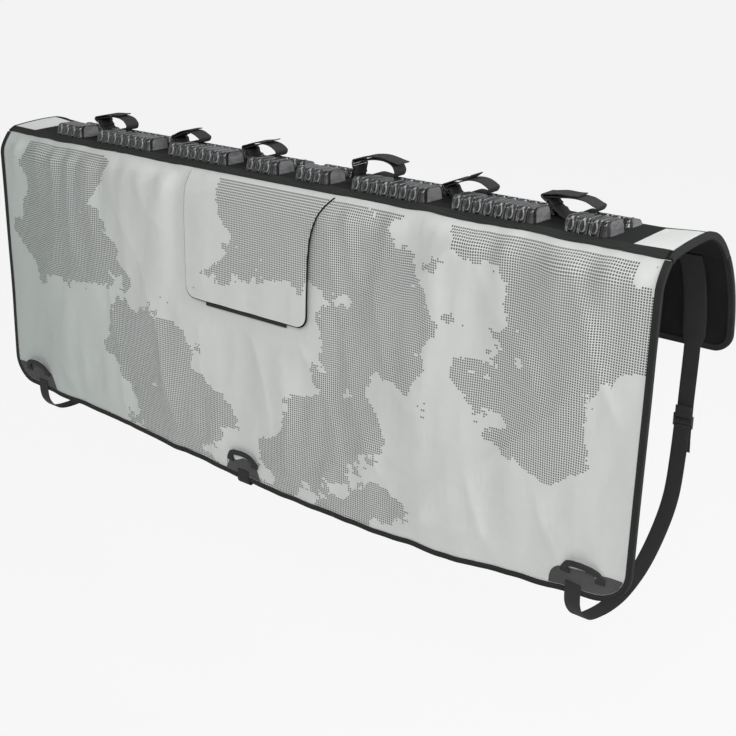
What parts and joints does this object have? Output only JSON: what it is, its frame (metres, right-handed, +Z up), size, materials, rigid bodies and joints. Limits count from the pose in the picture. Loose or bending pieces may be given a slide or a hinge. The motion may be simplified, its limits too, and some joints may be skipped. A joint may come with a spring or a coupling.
{
  "type": "tailgate bike pad",
  "caption": "Soft cover that hangs over a pick-up's tailgate, with ribbed rest blocks and hook-and-loop straps for bicycles.",
  "frame": {"origin": "on the flat underside of the padded top, halfway along the pad, where it rests on the tailgate's upper edge", "axes": "+X along the pad, -Y away from the vehicle, +Z up"},
  "size_m": [1.6034, 0.3342, 0.7108],
  "materials": {
    "tarpaulin": "pale coated tarpaulin with a printed pattern of dots",
    "lining": "black soft lining",
    "deck_fabric": "black heavy fabric",
    "edge_tape": "dark grey woven tape",
    "rubber": "moulded, satin",
    "webbing": "black woven webbing",
    "patch": "grey coated fabric",
    "plastic": "matt black"
  },
  "bodies": {
    "root": {"access_flap": "tarpaulin", "back_edge_tape": "edge_tape", "back_flap": "deck_fabric", "bike_strap_1": "webbing", "bike_strap_2": "webbing", "bike_strap_3": "webbing", "bike_strap_4": "webbing", "bike_strap_5": "webbing", "bike_strap_6": "webbing", "buckle_web_left": "webbing", "buckle_web_middle": "webbing", "buckle_web_right": "webbing", "crease_tape": "edge_tape", "deck_end_tape_left": "edge_tape", "deck_end_tape_right": "edge_tape", "end_panel_left": "tarpaulin", "end_panel_right": "tarpaulin", "flap_backing": "lining", "flap_hook_tape": "webbing", "flap_loop_tape": "webbing", "flap_pull_strip": "webbing", "front_edge_tape": "edge_tape", "front_lining": "lining", "front_tarpaulin": "tarpaulin", "grab_handle_left": "webbing", "grab_handle_middle": "webbing", "grab_handle_right": "webbing", "hem_patch_left": "patch", "hem_patch_middle": "patch", "hem_patch_right": "patch", "rest_block_back_1": "rubber", "rest_block_back_2": "rubber", "rest_block_back_3": "rubber", "rest_block_back_4": "rubber", "rest_block_back_5": "rubber", "rest_block_back_6": "rubber", "rest_block_back_7": "rubber", "rest_block_back_8": "rubber", "rest_block_front_1": "rubber", "rest_block_front_2": "rubber", "rest_block_front_3": "rubber", "rest_block_front_4": "rubber", "rest_block_front_5": "rubber", "rest_block_front_6": "rubber", "rest_block_front_7": "rubber", "rest_block_front_8": "rubber", "strap_ring_1": "plastic", "strap_ring_2": "plastic", "strap_ring_3": "plastic", "strap_ring_4": "plastic", "strap_ring_5": "plastic", "strap_ring_6": "plastic", "strap_slider_left": "plastic", "strap_slider_middle": "plastic", "strap_slider_right": "plastic", "tie_strap_left": "webbing", "tie_strap_middle": "webbing", "tie_strap_right": "webbing", "top_deck": "deck_fabric"}
  },
  "joints": []
}
